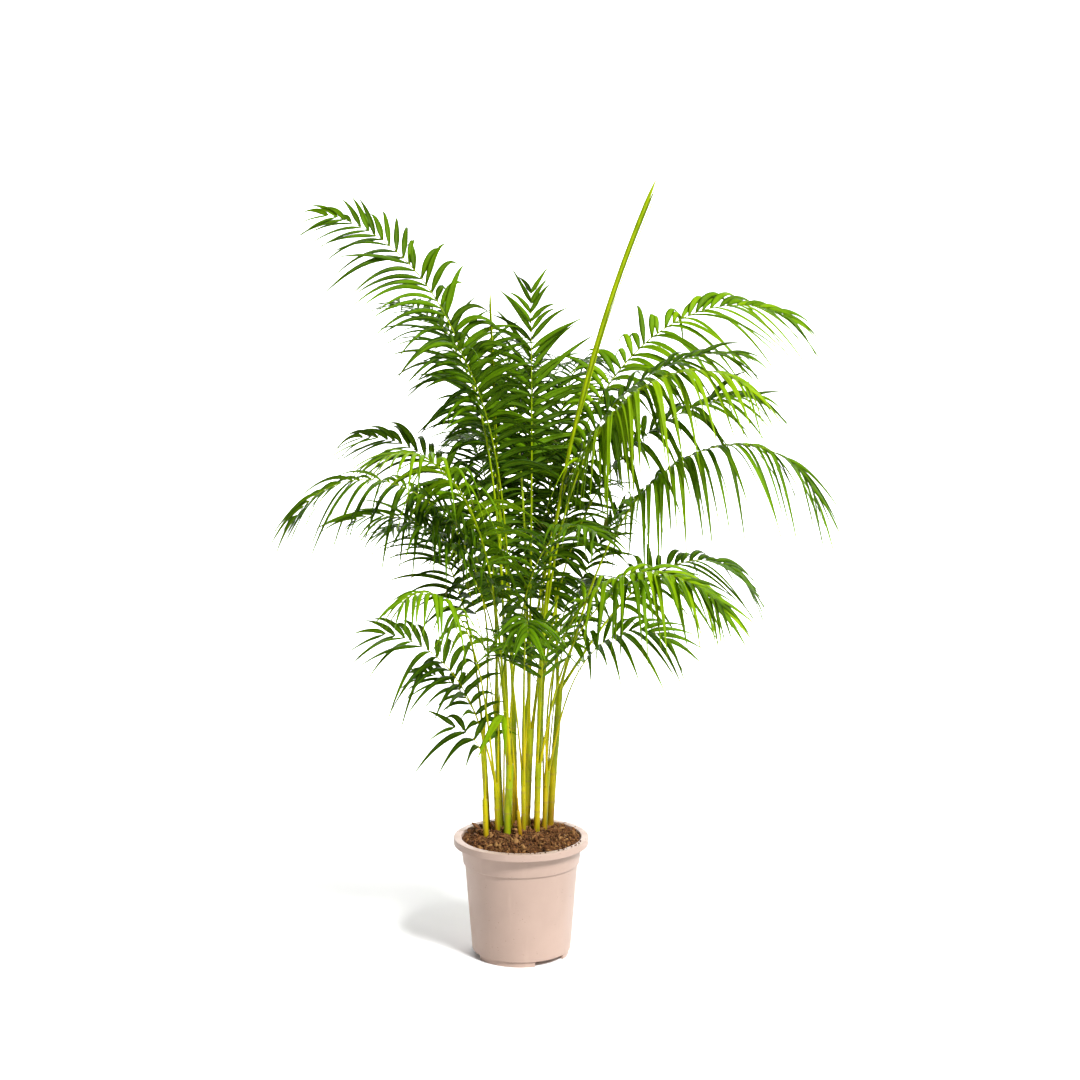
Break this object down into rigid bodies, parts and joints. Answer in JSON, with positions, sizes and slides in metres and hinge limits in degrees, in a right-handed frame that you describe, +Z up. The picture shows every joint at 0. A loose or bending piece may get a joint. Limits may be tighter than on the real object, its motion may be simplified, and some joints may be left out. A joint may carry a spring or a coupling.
{
  "type": "potted palm",
  "caption": "Young areca palm: a clump of yellow-green canes with arching feathery fronds and an unopened spear, planted in soil in a round plastic nursery pot.",
  "frame": {"origin": "on the pot's axis, at the flat of the middle foot on which the pot rests", "axes": "+Z up along the pot's axis and the plant; -Y is the front; +X is to the right seen from the front"},
  "size_m": [1.1542, 0.9893, 1.534],
  "materials": {
    "pot": "satin injection-moulded plastic",
    "soil": "moist crumbly coir and bark",
    "cane": "smooth waxy skin",
    "frond": "satin living leaf",
    "spear": "satin living leaf"
  },
  "bodies": {
    "root": {"pot": "pot", "potting_soil": "soil", "cane_01": "cane", "cane_02": "cane", "cane_03": "cane", "cane_04": "cane", "cane_05": "cane", "cane_06": "cane", "cane_07": "cane", "cane_08": "cane", "cane_09": "cane", "cane_10": "cane", "cane_11": "cane", "cane_12": "cane", "cane_13": "cane", "cane_14": "cane", "cane_15": "cane", "cane_16": "cane", "cane_17": "cane", "cane_01_frond_a": "frond", "cane_01_frond_b": "frond", "cane_02_frond_a": "frond", "cane_02_frond_b": "frond", "cane_02_frond_c": "frond", "cane_03_frond_a": "frond", "cane_03_frond_b": "frond", "cane_04_frond_a": "frond", "cane_05_frond_a": "frond", "cane_05_frond_b": "frond", "cane_05_frond_c": "frond", "cane_06_frond_a": "frond", "cane_06_frond_b": "frond", "cane_06_spear": "spear", "cane_07_frond_a": "frond", "cane_07_frond_b": "frond", "cane_07_frond_c": "frond", "cane_08_frond_a": "frond", "cane_08_frond_b": "frond", "cane_08_frond_c": "frond", "cane_09_frond_a": "frond", "cane_09_frond_b": "frond", "cane_10_frond_a": "frond", "cane_10_frond_b": "frond", "cane_11_frond_a": "frond", "cane_11_frond_b": "frond", "cane_12_frond_a": "frond", "cane_12_frond_b": "frond", "cane_12_frond_c": "frond", "cane_13_frond_a": "frond", "cane_13_frond_b": "frond", "cane_13_spear": "spear", "cane_14_frond_a": "frond", "cane_14_frond_b": "frond", "cane_14_frond_c": "frond", "cane_15_frond_a": "frond", "cane_15_frond_b": "frond", "cane_16_frond_a": "frond", "cane_16_frond_b": "frond", "cane_17_frond_a": "frond", "cane_17_frond_b": "frond"}
  },
  "joints": []
}
